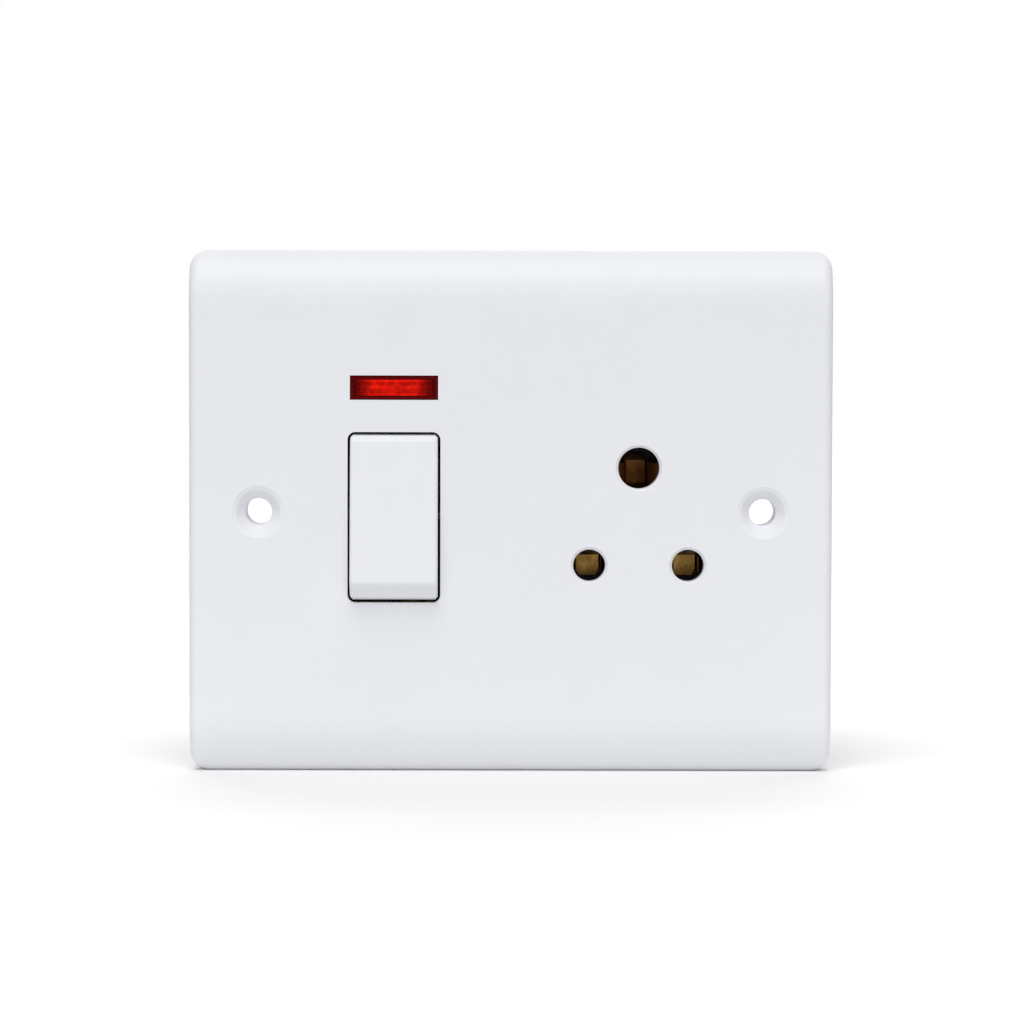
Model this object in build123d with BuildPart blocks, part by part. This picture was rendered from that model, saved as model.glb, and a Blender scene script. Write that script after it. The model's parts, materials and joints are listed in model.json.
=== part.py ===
from build123d import *
from math import asin, cos, pi, radians, sin, sqrt, tan
import os

# A flush wall plate with a double-pole rocker switch, a neon indicator and a socket for three round pins.
# Millimetres. +Z is up, the face looks along -Y and +X is to the right as one faces the plate.
# The origin is on the wall plane, midway between the two fixing holes.

# Front plate
PLATE_WIDTH = 124.2
PLATE_HEIGHT = 101.0
PLATE_DEPTH = 9.5
PLATE_WALL = 2.2
ROLL_RADIUS = 13.4
ROLL_TURN = 52.0
CORNER_RADIUS = 3.6
EDGE_ROUND = 1.8

# Fixing holes
FIXING_PITCH = 97.4
FIXING_HOLE = 5.2
FIXING_COUNTERSINK = 9.2
COUNTERSINK_ANGLE = 90.0
FIXING_BOSS = 10.0
MOUTH_CHAMFER = 0.5

# Pin pattern of the socket
SOCKET_X = 24.72
LINE_Z = -10.22
PIN_PITCH = 19.05
EARTH_RISE = 18.8
LINE_HOLE = 6.2
EARTH_HOLE = 8.0
PIN_GUIDE_WALL = 1.6
PIN_GUIDE_LENGTH = 1.5

# Rocker and the opening that it fills
OPENING_WIDTH = 17.9
OPENING_HEIGHT = 32.9
OPENING_CORNER = 1.5
ROCKER_X = -22.5
ROCKER_Z = -1.0
ROCKER_TILT = 6.5
ROCKER_PROUD = 2.5
ROCKER_SIDE_GAP = 0.5
ROCKER_END_GAP = 0.35
FACET_HEIGHT = 2.8
FACET_DEPTH = 2.7
FACET_ROUND = 1.2
BEVEL_HEIGHT = 1.9
BEVEL_DEPTH = 0.9
BEVEL_ROUND = 0.7
END_CHAMFER = 0.5
ROCKER_EDGE_ROUND = 0.7
ROCKER_SKIN = 2.0
ROCKER_WALL = 1.5
ROCKER_SKIRT = 1.6

# Rocker bearings: posts of the housing, notched at the front, which the plate closes
TRUNNION_DIAMETER = 2.0
BEARING_OFFSET = 0.2
BEARING_WIDTH = 2.0
BEARING_HEIGHT = 6.0
RUN_CLEARANCE = 0.05
TRUNNION_END_GAP = 0.2

# Sprung plungers that the rocker carries, one for each pole
POLE_PITCH = 9.0
PLUNGER_DIAMETER = 3.5
PLUNGER_HOLD = 5.9
PLUNGER_BOSS_WALL = 1.2
PLUNGER_BOSS_REACH = 7.5
PLUNGER_POINT = 1.4
PLUNGER_TAPER = 1.2
BORE_BOTTOM = 2.4
TIP_GAP = 0.3
SPRING_WIRE = 0.5
SPRING_TURNS = 4
TURN_STEPS = 12
SPRING_SIDE_GAP = 0.15
SPRING_END_GAP = 0.05
WIRE_SIDES = 4

# Rocking contacts
FULCRUM_HEIGHT = 7.8
SEESAW_TILT = 10.0
SEESAW_WIDTH = 5.0
SEESAW_THICKNESS = 1.2
SEESAW_SEAT = 0.1
SEESAW_TAIL = 6.5
SEESAW_CORNER = 1.2
CONTACT_ARM = 8.0
TIP_SIZE = 3.2
MOVING_TIP_HEIGHT = 0.9
FIXED_TIP_HEIGHT = 0.8
CONTACT_CLEARANCE = 0.05

# Fixed strips of brass
STRIP_WIDTH = 5.0
STRAP_THICKNESS = 1.2
STRAP_BEND = 1.6
BUS_THICKNESS = 1.0
STRAP_CORNER = 1.5
LIVE_RUN_RISE = 11.0
SUPPORT_LIP = 1.5

# Pin clips, folded from brass strip
CLIP_THICKNESS = 0.7
LINE_CLIP_HEIGHT = 4.0
LINE_CLIP_DROP = 0.95
EARTH_CLIP_HEIGHT = 4.6
EARTH_CLIP_DROP = 1.4
CLIP_BEND = 0.9
CLIP_MOUTH_GAP = 0.5
CLIP_FLARE_LENGTH = 3.6
CLIP_FLARE = 1.0
LINE_CLIP_INSIDE = 5.3
LINE_CLIP_PINCH = 4.9
EARTH_CLIP_INSIDE = 4.8
EARTH_CLIP_PINCH = 4.4
EARTH_CLIP_FLARE = 1.5
WEB_CHAMFER = 1.05
WEB_RELIEF = 1.0

# Terminals
TERMINAL_Z = -22.0
TERMINAL_WIDTH = 7.0
TERMINAL_HEIGHT = 9.0
TERMINAL_DEPTH = 8.0
TERMINAL_CHAMFER = 0.4
WIRE_HOLE = 4.2
WIRE_SETBACK = 4.2
CLAMP_SCREW = 3.5
CLAMP_SCREW_PROUD = 1.0
CLAMP_SLOT = 0.8
CLAMP_SLOT_DEPTH = 1.0
ACCESS_HOLE = 5.0
SCREW_CLEARANCE = 0.1
SCREW_STOP = 0.1

# Neon indicator
NEON_Z = 24.0
WINDOW_WIDTH = 17.0
WINDOW_HEIGHT = 4.7
LENS_GAP = 0.1
LENS_RECESS = 0.3
LENS_RIM = 1.0
LENS_FLANGE = 1.0
LENS_ROUND = 0.2
LAMP_DIAMETER = 4.0
LAMP_LENGTH = 11.0
LAMP_GAP = 0.7
LEAD_DIAMETER = 0.7
LEAD_SPREAD = 1.8
LEAD_SEAT = 0.02
LIVE_LEAD_RUN = 3.5
NEUTRAL_LEAD_RUN = 6.0
RESISTOR_DIAMETER = 2.4
RESISTOR_LENGTH = 6.0
RESISTOR_SETBACK = 4.1
CRADLE_SPACING = 8.0
CRADLE_WIDTH = 1.6
CRADLE_HEIGHT = 5.2

# Rear housing
HOUSING_DEPTH = 16.5
HOUSING_FLOOR = 2.5
HOUSING_WALL = 2.0
HOUSING_CORNER = 3.0
HOUSING_ROOM = 4.0
HOUSING_TOP_ROOM = 2.6
TERMINAL_ROOM = 0.5
BARRIER_WIDTH = 1.2
BARRIER_DEPTH = 9.0
WIRE_WINDOW_SIDE = 1.0

# Two self-tapping screws that hold the housing to the plate
SCREW_DIAMETER = 2.9
SCREW_HEAD = 5.5
SCREW_HEAD_HEIGHT = 1.9
SCREW_BITE = 3.6
RECESS_SPAN = 2.8
RECESS_WIDTH = 0.8
RECESS_DEPTH = 1.1
EAR_SIZE = 8.0
EAR_THICKNESS = 2.5
SCREW_PILLAR = 6.5
SCREW_PILLAR_HEIGHT = 2.8

# Planes along the depth, from the wall plane at zero
face_y = -PLATE_DEPTH
inner_y = face_y + PLATE_WALL
floor_y = HOUSING_DEPTH - HOUSING_FLOOR
strap_y = floor_y - STRAP_THICKNESS
guide_y = inner_y + PIN_GUIDE_LENGTH

# Rocker pivot and the rocker's own outline about it
trunnion_radius = TRUNNION_DIAMETER / 2
notch_radius = trunnion_radius + RUN_CLEARANCE
pivot_y = inner_y + notch_radius + RUN_CLEARANCE
rocker_face = pivot_y - face_y + ROCKER_PROUD
end_radius = OPENING_HEIGHT / 2 - ROCKER_END_GAP
rocker_width = OPENING_WIDTH - 2 * ROCKER_SIDE_GAP
bearing_inside = OPENING_WIDTH / 2 + BEARING_OFFSET
bearing_outside = bearing_inside + BEARING_WIDTH

# Rocking contacts: the fulcrum edge is the axis
seesaw_y = floor_y - FULCRUM_HEIGHT
seesaw_front = SEESAW_SEAT + SEESAW_THICKNESS
seesaw_tip_face = MOVING_TIP_HEIGHT - SEESAW_SEAT
seesaw_head = CONTACT_ARM + TIP_SIZE / 2
tip_throw = seesaw_head * sin(radians(SEESAW_TILT))
tip_reach = seesaw_tip_face * cos(radians(SEESAW_TILT)) + tip_throw
fixed_tip_y = seesaw_y + tip_reach + CONTACT_CLEARANCE
bus_y = fixed_tip_y + FIXED_TIP_HEIGHT
bus_back_y = bus_y + BUS_THICKNESS
contact_z = ROCKER_Z + CONTACT_ARM
live_run_z = contact_z + LIVE_RUN_RISE

# Where the poles and pins stand across the plate
live_pole_x = ROCKER_X - POLE_PITCH / 2
neutral_pole_x = ROCKER_X + POLE_PITCH / 2
neutral_pin_x = SOCKET_X - PIN_PITCH / 2
live_pin_x = SOCKET_X + PIN_PITCH / 2
earth_z = LINE_Z + EARTH_RISE
poles = {"live": live_pole_x, "neutral": neutral_pole_x}
line_pins = {"neutral": neutral_pin_x, "live": live_pin_x}

# Rear housing outline, set by what it holds
housing_left = ROCKER_X - bearing_outside - HOUSING_ROOM
housing_right = live_pin_x + STRIP_WIDTH / 2 + HOUSING_ROOM
housing_top = NEON_Z + WINDOW_HEIGHT / 2 + LENS_RIM + HOUSING_TOP_ROOM
housing_bottom = TERMINAL_Z - TERMINAL_HEIGHT / 2 - TERMINAL_ROOM
housing_width = housing_right - housing_left
housing_height = housing_top - housing_bottom
housing_middle = ((housing_left + housing_right) / 2, (housing_bottom + housing_top) / 2)
ear_front_y = inner_y + SCREW_PILLAR_HEIGHT
ear_back_y = ear_front_y + EAR_THICKNESS
ear_rise = HOUSING_WALL + EAR_SIZE / 2
ear_points = [(housing_middle[0], housing_bottom - ear_rise), (housing_middle[0], housing_top + ear_rise)]

os.makedirs("parts", exist_ok=True)


def facing(y):
    """Plane across the plate at depth y: its x is +X, its y is +Z and it looks along -Y."""
    return Plane.XZ.offset(-y)


def side_plane(x, y, z, turn=0.0):
    """Plane seen from +X whose axes are +Y and +Z, turned about X by some degrees."""
    turn = radians(turn)
    return Plane(origin=(x, y, z), x_dir=(0, cos(turn), sin(turn)), z_dir=(1, 0, 0))


def finish(piece, name):
    """Name a finished piece and write it."""
    piece.part.label = name
    export_step(piece.part, f"parts/{name}.step")


def rolled_section(inset):
    """Section of the plate in Y and Z with its rolled top and bottom edges, drawn inwards by the inset."""
    roll_y = face_y + ROLL_RADIUS
    roll_z = PLATE_HEIGHT / 2 - ROLL_RADIUS * sin(radians(ROLL_TURN))
    radius = ROLL_RADIUS - inset
    edge_z = PLATE_HEIGHT / 2 - inset
    turn = asin((edge_z - roll_z) / radius)
    edge_y = roll_y - radius * cos(turn)
    middle_y = roll_y - radius * cos(turn / 2)
    middle_z = roll_z + radius * sin(turn / 2)
    top = ThreePointArc((face_y + inset, roll_z), (middle_y, middle_z), (edge_y, edge_z))
    bottom = ThreePointArc((edge_y, -edge_z), (middle_y, -middle_z), (face_y + inset, -roll_z))
    Polyline(top @ 1, (0, edge_z), (0, -edge_z), bottom @ 0)
    Line(bottom @ 1, top @ 0)


# Fixing hole: one turned cutter with the broken edge, the countersink and the bore
half_sink = radians(COUNTERSINK_ANGLE / 2)
lip = (FIXING_COUNTERSINK / 2 - MOUTH_CHAMFER * sin(half_sink), face_y + MOUTH_CHAMFER * cos(half_sink))
sink_y = face_y + (FIXING_COUNTERSINK - FIXING_HOLE) / 2 / tan(half_sink)
with BuildPart() as fixing_cut:
    with BuildSketch(Plane.XY):
        with BuildLine():
            mouth_edge = (FIXING_COUNTERSINK / 2 + MOUTH_CHAMFER, face_y)
            bore = [(FIXING_HOLE / 2, sink_y), (FIXING_HOLE / 2, 0)]
            Polyline((0, face_y), mouth_edge, lip, *bore, (0, 0), close=True)
        make_face()
    revolve(axis=Axis.Y)

# Front plate: a rolled core grown outwards to round every edge, cut off at the wall and hollowed from behind
with BuildPart() as front_plate:
    with BuildSketch(Plane.YZ):
        with BuildLine():
            rolled_section(EDGE_ROUND)
        make_face()
    extrude(amount=PLATE_WIDTH / 2 - EDGE_ROUND, both=True)
    with BuildSketch(facing(0)):
        core_size = (PLATE_WIDTH - 2 * EDGE_ROUND, PLATE_HEIGHT - 2 * EDGE_ROUND)
        RectangleRounded(*core_size, CORNER_RADIUS - EDGE_ROUND)
    extrude(amount=PLATE_DEPTH, mode=Mode.INTERSECT)
    offset(amount=EDGE_ROUND, kind=Kind.ARC)
    split(bisect_by=facing(0), keep=Keep.TOP)
    with BuildSketch(Plane.YZ):
        with BuildLine():
            rolled_section(PLATE_WALL)
        make_face()
    extrude(amount=PLATE_WIDTH / 2 - PLATE_WALL, both=True, mode=Mode.SUBTRACT)
    with BuildSketch(facing(0)):
        with GridLocations(FIXING_PITCH, 0, 2, 1):
            Circle(FIXING_BOSS / 2)
    extrude(amount=-inner_y)
    with BuildSketch(facing(ear_front_y)):
        with Locations(*ear_points):
            Rectangle(SCREW_PILLAR, SCREW_PILLAR)
    extrude(amount=SCREW_PILLAR_HEIGHT)
    with BuildSketch(facing(guide_y)):
        pad_low = LINE_Z - LINE_HOLE / 2 - PIN_GUIDE_WALL
        pad_high = earth_z + EARTH_HOLE / 2 + PIN_GUIDE_WALL
        with Locations((SOCKET_X, (pad_low + pad_high) / 2)):
            Rectangle(PIN_PITCH + LINE_HOLE + 2 * PIN_GUIDE_WALL, pad_high - pad_low)
    extrude(amount=PIN_GUIDE_LENGTH)
    with BuildSketch(facing(face_y)):
        with Locations((ROCKER_X, ROCKER_Z)):
            RectangleRounded(OPENING_WIDTH, OPENING_HEIGHT, OPENING_CORNER)
        with Locations((ROCKER_X, NEON_Z)):
            Rectangle(WINDOW_WIDTH, WINDOW_HEIGHT)
    extrude(amount=-PLATE_WALL, mode=Mode.SUBTRACT)
    with BuildSketch(facing(face_y)):
        with Locations((neutral_pin_x, LINE_Z), (live_pin_x, LINE_Z)):
            Circle(LINE_HOLE / 2)
        with Locations((SOCKET_X, earth_z)):
            Circle(EARTH_HOLE / 2)
    extrude(amount=face_y - guide_y, mode=Mode.SUBTRACT)
    mouths = front_plate.edges().filter_by(GeomType.CIRCLE).group_by(Axis.Y)[0]
    chamfer(mouths.filter_by(lambda e: e.is_closed), MOUTH_CHAMFER)
    with GridLocations(FIXING_PITCH, 0, 2, 1):
        add(fixing_cut.part, mode=Mode.SUBTRACT)
    with BuildSketch(facing(ear_front_y)):
        with Locations(*ear_points):
            Circle(SCREW_DIAMETER / 2 + RUN_CLEARANCE)
    extrude(amount=SCREW_BITE + SCREW_CLEARANCE, mode=Mode.SUBTRACT)
finish(front_plate, "front_plate")

# Rocker: a hollow cap drawn in side view at mid travel and turned to the off position about its trunnions
rocker_plane = side_plane(ROCKER_X, pivot_y, ROCKER_Z, -ROCKER_TILT)
crease = (-rocker_face, FACET_HEIGHT - end_radius)
bevel_top = (-rocker_face, end_radius - BEVEL_HEIGHT)
facet_u = FACET_DEPTH - rocker_face
bevel_u = BEVEL_DEPTH - rocker_face


def on_end(u, up):
    """Point of the rocker's rounded top or bottom end at depth u from the pivot."""
    return (u, up * sqrt(end_radius**2 - u**2))


with BuildPart() as rocker:
    with BuildSketch(rocker_plane) as rocker_side:
        with BuildLine():
            top_mid = on_end((bevel_u + ROCKER_SKIRT) / 2, 1)
            bottom_mid = on_end((facet_u + ROCKER_SKIRT) / 2, -1)
            top_end = ThreePointArc(on_end(bevel_u, 1), top_mid, on_end(ROCKER_SKIRT, 1))
            bottom_end = ThreePointArc(on_end(ROCKER_SKIRT, -1), bottom_mid, on_end(facet_u, -1))
            Line(top_end @ 1, bottom_end @ 0)
            Polyline(bottom_end @ 1, crease, bevel_top, top_end @ 0)
        make_face()
        corners = rocker_side.vertices()
        fillet(corners.sort_by_distance(crease)[0], FACET_ROUND)
        fillet(rocker_side.vertices().sort_by_distance(bevel_top)[0], BEVEL_ROUND)
    extrude(amount=rocker_width / 2, both=True)
    skirt_end = rocker.faces().sort_by(Axis((0, 0, 0), rocker_plane.x_dir))[-1]
    side_edges = rocker.faces().filter_by(Axis.X).edges() - skirt_end.edges()
    end_arcs = side_edges.filter_by(lambda e: e.geom_type == GeomType.CIRCLE and e.radius > end_radius / 2)
    chamfer(end_arcs, END_CHAMFER)
    front_edges = rocker.faces().filter_by(Axis.X).edges().filter_by(
        lambda e: rocker_plane.to_local_coords(e.center()).X < facet_u
    )
    fillet(front_edges, ROCKER_EDGE_ROUND)
    with BuildSketch(rocker_plane):
        with BuildLine():
            pocket_u = ROCKER_SKIN - rocker_face
            pocket_top = end_radius - BEVEL_HEIGHT
            pocket_bottom = FACET_HEIGHT - end_radius
            Polyline(
                (pocket_u, pocket_top),
                (ROCKER_SKIRT, pocket_top),
                (ROCKER_SKIRT, pocket_bottom),
                (pocket_u, pocket_bottom),
                close=True,
            )
        make_face()
    extrude(amount=rocker_width / 2 - ROCKER_WALL, both=True, mode=Mode.SUBTRACT)
    boss_plane = Plane(rocker_plane.from_local_coords((pocket_u, 0, 0)), (1, 0, 0), rocker_plane.x_dir)
    with BuildSketch(boss_plane):
        boss_height = PLUNGER_DIAMETER + 2 * PLUNGER_BOSS_WALL
        Rectangle(POLE_PITCH + boss_height, boss_height)
    extrude(amount=PLUNGER_BOSS_REACH - pocket_u)
    bore_plane = Plane(rocker_plane.from_local_coords((-BORE_BOTTOM, 0, 0)), (1, 0, 0), rocker_plane.x_dir)
    with BuildSketch(bore_plane):
        with GridLocations(POLE_PITCH, 0, 2, 1):
            Circle(PLUNGER_DIAMETER / 2 + RUN_CLEARANCE)
    extrude(amount=PLUNGER_BOSS_REACH + BORE_BOTTOM, mode=Mode.SUBTRACT)
    for side in (-1, 1):
        root = (ROCKER_X + side * (rocker_width / 2 - ROCKER_WALL / 2), pivot_y, ROCKER_Z)
        reach = bearing_outside - TRUNNION_END_GAP - rocker_width / 2 + ROCKER_WALL / 2
        with BuildSketch(Plane(origin=root, z_dir=(side, 0, 0))):
            Circle(trunnion_radius)
        extrude(amount=reach)
finish(rocker, "rocker")

# Plungers and their springs, which stand in the rocker's bores
plunger_tip = seesaw_y - seesaw_front - TIP_GAP - pivot_y
plunger_back = PLUNGER_BOSS_REACH - PLUNGER_HOLD
for pole, pole_x in poles.items():
    plunger_side = side_plane(pole_x, pivot_y, ROCKER_Z, -ROCKER_TILT)
    with BuildPart() as plunger:
        with BuildSketch(plunger_side):
            with BuildLine():
                radius = PLUNGER_DIAMETER / 2
                Polyline(
                    (plunger_back, 0),
                    (plunger_back, radius),
                    (plunger_tip - PLUNGER_TAPER, radius),
                    (plunger_tip, PLUNGER_POINT / 2),
                    (plunger_tip, 0),
                    close=True,
                )
            make_face()
        revolve(axis=Axis((pole_x, pivot_y, ROCKER_Z), plunger_side.x_dir))
    finish(plunger, f"{pole}_plunger")

    spring_start = SPRING_WIRE / 2 + SPRING_END_GAP - BORE_BOTTOM
    spring_length = plunger_back - SPRING_WIRE / 2 - SPRING_END_GAP - spring_start
    spring_radius = PLUNGER_DIAMETER / 2 - SPRING_SIDE_GAP - SPRING_WIRE / 2
    coil_steps = SPRING_TURNS * TURN_STEPS
    coil_points = []
    for step in range(coil_steps + 1):
        turn = 2 * pi * step / TURN_STEPS
        along = spring_start + spring_length * step / coil_steps
        point = (along, spring_radius * cos(turn), spring_radius * sin(turn))
        coil_points.append(plunger_side.from_local_coords(point))
    with BuildPart() as spring:
        with BuildLine() as coil:
            Polyline(*coil_points)
        with BuildSketch(Plane(origin=coil.line @ 0, z_dir=coil.line % 0)):
            RegularPolygon(SPRING_WIRE / 2, WIRE_SIDES)
        sweep(path=coil.line, transition=Transition.RIGHT)
    finish(spring, f"{pole}_plunger_spring")

# Rocking contacts with silver tips, tilted to the open position on their fulcrum edges
fulcrum_radius = STRAP_THICKNESS / 2
for pole, pole_x in poles.items():
    seesaw_plane = side_plane(pole_x, seesaw_y, ROCKER_Z, SEESAW_TILT)
    with BuildPart() as seesaw:
        with BuildSketch(seesaw_plane):
            with BuildLine():
                Polyline(
                    (-SEESAW_SEAT, -SEESAW_TAIL),
                    (-SEESAW_SEAT, seesaw_head),
                    (-seesaw_front, seesaw_head),
                    (-seesaw_front, -SEESAW_TAIL),
                    close=True,
                )
            make_face()
            Circle(fulcrum_radius + RUN_CLEARANCE, mode=Mode.SUBTRACT)
        extrude(amount=SEESAW_WIDTH / 2, both=True)
        ends = seesaw.edges().filter_by(Axis((0, 0, 0), seesaw_plane.x_dir))
        chamfer(ends, SEESAW_CORNER)
    finish(seesaw, f"{pole}_seesaw")

    tip_foot = seesaw_plane.from_local_coords((-SEESAW_SEAT, CONTACT_ARM, 0))
    with BuildPart() as moving_tip:
        with BuildSketch(Plane(tip_foot, (1, 0, 0), seesaw_plane.x_dir)):
            Rectangle(TIP_SIZE, TIP_SIZE)
        extrude(amount=MOVING_TIP_HEIGHT)
    finish(moving_tip, f"{pole}_moving_tip")

    with BuildPart() as fixed_tip:
        with BuildSketch(facing(bus_y)):
            with Locations((pole_x, contact_z)):
                Rectangle(TIP_SIZE, TIP_SIZE)
        extrude(amount=FIXED_TIP_HEIGHT)
    finish(fixed_tip, f"{pole}_fixed_tip")

# Supply brackets: a fulcrum edge at the front, a foot on the housing floor and a tail under the terminal
tail_z = TERMINAL_Z - TERMINAL_HEIGHT / 2
for pole, pole_x in poles.items():
    with BuildPart() as bracket:
        with BuildSketch(side_plane(pole_x, 0, 0)) as bracket_side:
            with BuildLine():
                top_z = ROCKER_Z + fulcrum_radius
                under_z = ROCKER_Z - fulcrum_radius
                nose = (seesaw_y - fulcrum_radius, ROCKER_Z)
                edge = ThreePointArc((seesaw_y, under_z), nose, (seesaw_y, top_z))
                Polyline(
                    edge @ 1,
                    (floor_y, top_z),
                    (floor_y, tail_z),
                    (strap_y, tail_z),
                    (strap_y, under_z),
                    edge @ 0,
                )
            make_face()
            fillet(bracket_side.vertices().sort_by_distance((floor_y, top_z))[0], STRAP_BEND)
        extrude(amount=STRIP_WIDTH / 2, both=True)
        with BuildSketch(facing(floor_y)):
            with Locations((pole_x, TERMINAL_Z)):
                Circle(CLAMP_SCREW / 2 + SCREW_CLEARANCE)
        extrude(amount=STRAP_THICKNESS, mode=Mode.SUBTRACT)
    finish(bracket, f"{pole}_supply_bracket")

# Fixed strips from the switch to the line pins, which lie in channels of the housing
half_strip = STRIP_WIDTH / 2
bus_routes = {
    "neutral": [(neutral_pole_x, contact_z), (neutral_pin_x, contact_z), (neutral_pin_x, LINE_Z)],
    "live": [
        (live_pole_x, contact_z),
        (live_pole_x, live_run_z),
        (live_pin_x, live_run_z),
        (live_pin_x, LINE_Z),
    ],
}
bus_runs = {pole: list(zip(route, route[1:])) for pole, route in bus_routes.items()}
for pole, runs in bus_runs.items():
    with BuildPart() as bus:
        with BuildSketch(facing(bus_y)):
            for (x0, z0), (x1, z1) in runs:
                with Locations(((x0 + x1) / 2, (z0 + z1) / 2)):
                    Rectangle(abs(x1 - x0) + STRIP_WIDTH, abs(z1 - z0) + STRIP_WIDTH)
        extrude(amount=-BUS_THICKNESS)
    finish(bus, f"{pole}_bus")


def clip_fold(inside, pinch, flare, web_y):
    """Folded strip of a pin clip seen from above: a web at the back and two leaves with flared lips."""
    mouth_y = guide_y + CLIP_MOUTH_GAP
    half_web = (inside + CLIP_THICKNESS) / 2
    half_pinch = (pinch + CLIP_THICKNESS) / 2
    middle_y = web_y - CLIP_THICKNESS / 2
    right_side = [
        (half_web, middle_y),
        (half_pinch, mouth_y + CLIP_FLARE_LENGTH),
        (half_pinch + flare, mouth_y),
    ]
    left_side = [(-x, y) for x, y in reversed(right_side)]
    FilletPolyline(*left_side, *right_side, radius=CLIP_BEND)


def web_corner_cut(side):
    """Notch that takes a lower corner off a clip's web, seen from the front."""
    low = -LINE_CLIP_HEIGHT / 2
    out = side * LINE_CLIP_INSIDE
    start = side * (LINE_CLIP_INSIDE / 2 - WEB_CHAMFER)
    Polyline((start, low), (out, low), (out, 0), (side * LINE_CLIP_INSIDE / 2, 0), close=True)


# Pin clips
clip_z = LINE_Z - LINE_CLIP_DROP
for pole, pin_x in line_pins.items():
    with BuildPart() as line_clip:
        with BuildSketch(Plane((pin_x, 0, clip_z))):
            with BuildLine():
                clip_fold(LINE_CLIP_INSIDE, LINE_CLIP_PINCH, CLIP_FLARE, bus_y)
            trace(line_width=CLIP_THICKNESS)
        extrude(amount=LINE_CLIP_HEIGHT / 2, both=True)
        with BuildSketch(Plane((pin_x, bus_y, clip_z), (1, 0, 0), (0, -1, 0))):
            for side in (-1, 1):
                with BuildLine():
                    web_corner_cut(side)
                make_face()
        extrude(amount=CLIP_THICKNESS + WEB_RELIEF, mode=Mode.SUBTRACT)
    finish(line_clip, f"{pole}_clip")

with BuildPart() as earth_clip:
    with BuildSketch(Plane((SOCKET_X, 0, earth_z - EARTH_CLIP_DROP))):
        with BuildLine():
            clip_fold(EARTH_CLIP_INSIDE, EARTH_CLIP_PINCH, EARTH_CLIP_FLARE, strap_y)
        trace(line_width=CLIP_THICKNESS)
    extrude(amount=EARTH_CLIP_HEIGHT / 2, both=True)
finish(earth_clip, "earth_clip")

# Earth strap: a flat strip on the housing floor from the earth clip to the earth terminal
with BuildPart() as earth_strap:
    with BuildSketch(facing(strap_y)) as strap_outline:
        strap_top = earth_z + half_strip
        with Locations((SOCKET_X, (strap_top + tail_z) / 2)):
            Rectangle(STRIP_WIDTH, strap_top - tail_z)
        chamfer(strap_outline.vertices().group_by(Axis.Y)[-1], STRAP_CORNER)
        with Locations((SOCKET_X, TERMINAL_Z)):
            Circle(CLAMP_SCREW / 2 + SCREW_CLEARANCE, mode=Mode.SUBTRACT)
    extrude(amount=-STRAP_THICKNESS)
finish(earth_strap, "earth_strap")

# Pillar terminals: a wire hole from below and a clamp screw from behind
terminals = {"live": live_pole_x, "neutral": neutral_pole_x, "earth": SOCKET_X}
wire_y = strap_y - WIRE_SETBACK
for pole, x in terminals.items():
    with BuildPart() as terminal:
        with BuildSketch(facing(strap_y)):
            with Locations((x, TERMINAL_Z)):
                Rectangle(TERMINAL_WIDTH, TERMINAL_HEIGHT)
        extrude(amount=TERMINAL_DEPTH)
        chamfer(terminal.edges().filter_by(Axis.Z), TERMINAL_CHAMFER)
        with BuildSketch(Plane((x, wire_y, tail_z))):
            Circle(WIRE_HOLE / 2)
        extrude(amount=TERMINAL_HEIGHT, mode=Mode.SUBTRACT)
        with BuildSketch(facing(strap_y)):
            with Locations((x, TERMINAL_Z)):
                Circle(CLAMP_SCREW / 2 + RUN_CLEARANCE)
        extrude(amount=WIRE_SETBACK, mode=Mode.SUBTRACT)
    finish(terminal, f"{pole}_terminal")

with BuildPart() as terminal_screws:
    clamp_points = [(x, TERMINAL_Z) for x in terminals.values()]
    clamp_back_y = floor_y + CLAMP_SCREW_PROUD
    with BuildSketch(facing(clamp_back_y)):
        with Locations(*clamp_points):
            Circle(CLAMP_SCREW / 2)
    extrude(amount=clamp_back_y - wire_y - WIRE_HOLE / 2 - SCREW_STOP)
    with BuildSketch(facing(clamp_back_y)):
        with Locations(*clamp_points):
            Rectangle(CLAMP_SCREW, CLAMP_SLOT)
    extrude(amount=CLAMP_SLOT_DEPTH, mode=Mode.SUBTRACT)
finish(terminal_screws, "terminal_screws")

# Neon indicator: a flanged lens, a lamp in a cradle, its leads and a resistor
lens_back_y = inner_y + LENS_FLANGE
with BuildPart() as neon_lens:
    with BuildSketch(facing(inner_y)):
        with Locations((ROCKER_X, NEON_Z)):
            Rectangle(WINDOW_WIDTH - 2 * LENS_GAP, WINDOW_HEIGHT - 2 * LENS_GAP)
    extrude(amount=PLATE_WALL - LENS_RECESS)
    fillet(neon_lens.faces().sort_by(Axis.Y)[0].edges(), LENS_ROUND)
    with BuildSketch(facing(lens_back_y)):
        with Locations((ROCKER_X, NEON_Z)):
            Rectangle(WINDOW_WIDTH + 2 * LENS_RIM, WINDOW_HEIGHT + 2 * LENS_RIM)
    extrude(amount=LENS_FLANGE)
finish(neon_lens, "neon_lens")

lamp_radius = LAMP_DIAMETER / 2
lamp_y = lens_back_y + LAMP_GAP + lamp_radius
lamp_end_x = ROCKER_X + LAMP_LENGTH / 2
with BuildPart() as neon_lamp:
    with BuildSketch(side_plane(ROCKER_X, lamp_y, NEON_Z)):
        Circle(lamp_radius)
    extrude(amount=LAMP_LENGTH / 2, both=True)
finish(neon_lamp, "neon_lamp")

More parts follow.
